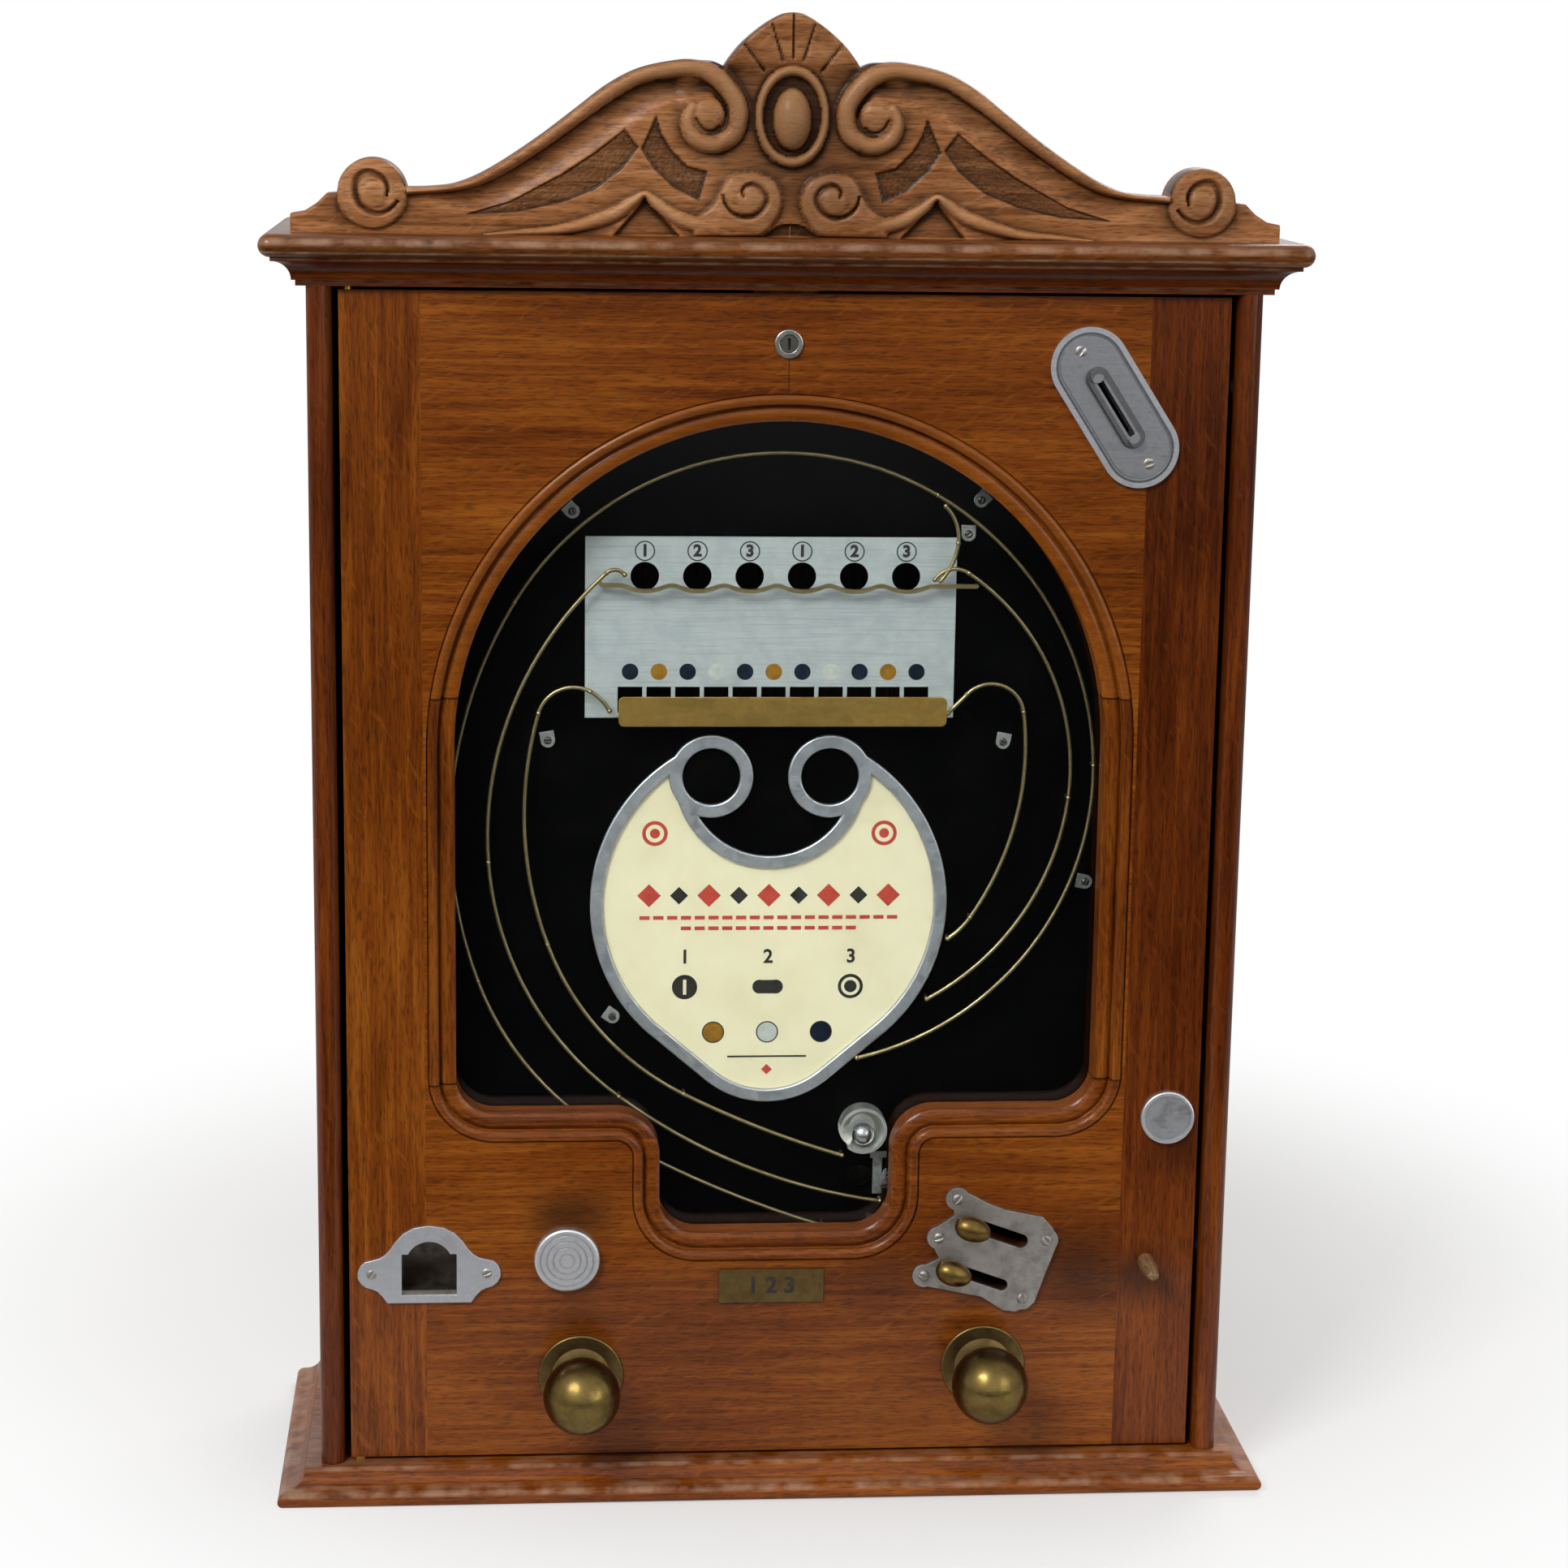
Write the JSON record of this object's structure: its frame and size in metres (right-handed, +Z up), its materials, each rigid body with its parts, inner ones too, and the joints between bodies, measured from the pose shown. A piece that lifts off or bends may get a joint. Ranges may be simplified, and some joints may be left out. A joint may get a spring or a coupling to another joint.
{
  "type": "coin-operated skill game",
  "caption": "Oak wall or counter game with an arch-topped glazed door, brass ball tracks, two triggers, two knobs, a coin slot and a payout cup.",
  "frame": {"origin": "centre of the plinth's underside", "axes": "+Z up, the door faces -Y, +X to the right as seen from the front"},
  "size_m": [0.546, 0.217, 0.805],
  "materials": {
    "oak": "old varnish",
    "oak_dark": "old varnish, darker",
    "black_paint": "black paint, satin",
    "aged_brass": "worn and tarnished",
    "brass": "satin",
    "aluminium": "brushed",
    "sheet_steel": "plain sheet",
    "steel": "bright",
    "chrome": "polished",
    "score_blue": "satin paint",
    "card": "matte",
    "glass": "clear"
  },
  "bodies": {
    "case": {"side_panel_left": "oak", "side_panel_right": "oak", "back_panel": "oak_dark", "plinth_board": "oak_dark", "cornice_moulding": "oak", "top_board": "oak", "pediment": "oak", "hinge_pins": "brass", "lock_keep": "brass", "cash_box": "oak_dark"},
    "door": {"door_stile_left": "oak", "door_stile_right": "oak", "door_panel": "oak", "window_moulding": "oak_dark", "stile_peg": "oak_dark", "playfield_frame": "black_paint", "playfield_board": "black_paint", "knob_roses": "aged_brass", "pocket_bar": "brass", "outer_rail": "brass", "middle_rail_left": "brass", "middle_rail_right": "brass", "inner_rail_left": "brass", "inner_rail_right": "brass", "scallop_rail": "brass", "name_plate": "brass", "coin_plate": "aluminium", "payout_plate": "aluminium", "trigger_plate": "aluminium", "blanking_discs": "aluminium", "card_frame": "aluminium", "coin_chute": "sheet_steel", "payout_chute": "sheet_steel", "check_trough": "sheet_steel", "ball_trough": "sheet_steel", "mechanism_posts": "sheet_steel", "rail_lugs": "sheet_steel", "steel_balls": "steel", "upper_spring": "steel", "lower_spring": "steel", "ball_cup": "chrome", "lock_body": "chrome", "score_plate": "score_blue", "instruction_card": "card", "window_glass": "glass"},
    "lock_set": {"lock_barrel": "chrome", "lock_cam": "steel"},
    "left_knob_set": {"left_knob": "aged_brass", "left_crank": "steel"},
    "check_lift_set": {"check_lifter": "steel", "lifted_check": "brass"},
    "right_knob_set": {"right_knob": "aged_brass", "right_crank": "steel"},
    "ball_lift_set": {"ball_lift": "steel", "lifted_ball": "steel"},
    "upper_trigger_set": {"upper_trigger": "aged_brass", "upper_plunger": "steel"},
    "lower_trigger_set": {"lower_trigger": "aged_brass", "lower_plunger": "steel"},
    "coin_lever_set": {"coin_lever": "steel"}
  },
  "joints": [
    {"name": "door_hinge", "type": "hinge", "parent": "case", "child": "door", "pos_m": [-0.229, -0.0655, 0.021], "axis": [0, 0, -1], "range_deg": [0, 85]},
    {"name": "lock_turn", "type": "hinge", "parent": "door", "child": "lock_set", "pos_m": [0, -0.071, 0.636], "axis": [0, -1, 0], "range_deg": [0, 90]},
    {"name": "left_knob_turn", "type": "hinge", "parent": "door", "child": "left_knob_set", "pos_m": [-0.107, -0.071, 0.067], "axis": [0, 1, 0], "range_deg": [0, 40.97]},
    {"name": "check_lift", "type": "slide", "parent": "door", "child": "check_lift_set", "axis": [0, 0, 1], "range_m": [0, 0.028]},
    {"name": "right_knob_turn", "type": "hinge", "parent": "door", "child": "right_knob_set", "pos_m": [0.117, -0.071, 0.0695], "axis": [0, 1, 0], "range_deg": [0, 40.97]},
    {"name": "ball_lift_rise", "type": "slide", "parent": "door", "child": "ball_lift_set", "axis": [0, 0, 1], "range_m": [0, 0.028]},
    {"name": "upper_trigger_pull", "type": "slide", "parent": "door", "child": "upper_trigger_set", "axis": [0.9397, 0, -0.342], "range_m": [0, 0.03], "stiffness_N_per_m": 150, "springref_m": -0.01, "deforming": ["upper_spring"]},
    {"name": "lower_trigger_pull", "type": "slide", "parent": "door", "child": "lower_trigger_set", "axis": [0.9397, 0, -0.342], "range_m": [0, 0.03], "stiffness_N_per_m": 150, "springref_m": -0.01, "deforming": ["lower_spring"]},
    {"name": "coin_lever_tip", "type": "hinge", "parent": "door", "child": "coin_lever_set", "pos_m": [0.185, -0.036, 0.165], "axis": [0, 1, 0], "range_deg": [0, 20]}
  ],
  "couplings": [
    {"joint": "check_lift", "follows": "left_knob_turn", "m_per_rad": 0.039157},
    {"joint": "ball_lift_rise", "follows": "right_knob_turn", "m_per_rad": 0.039157}
  ]
}
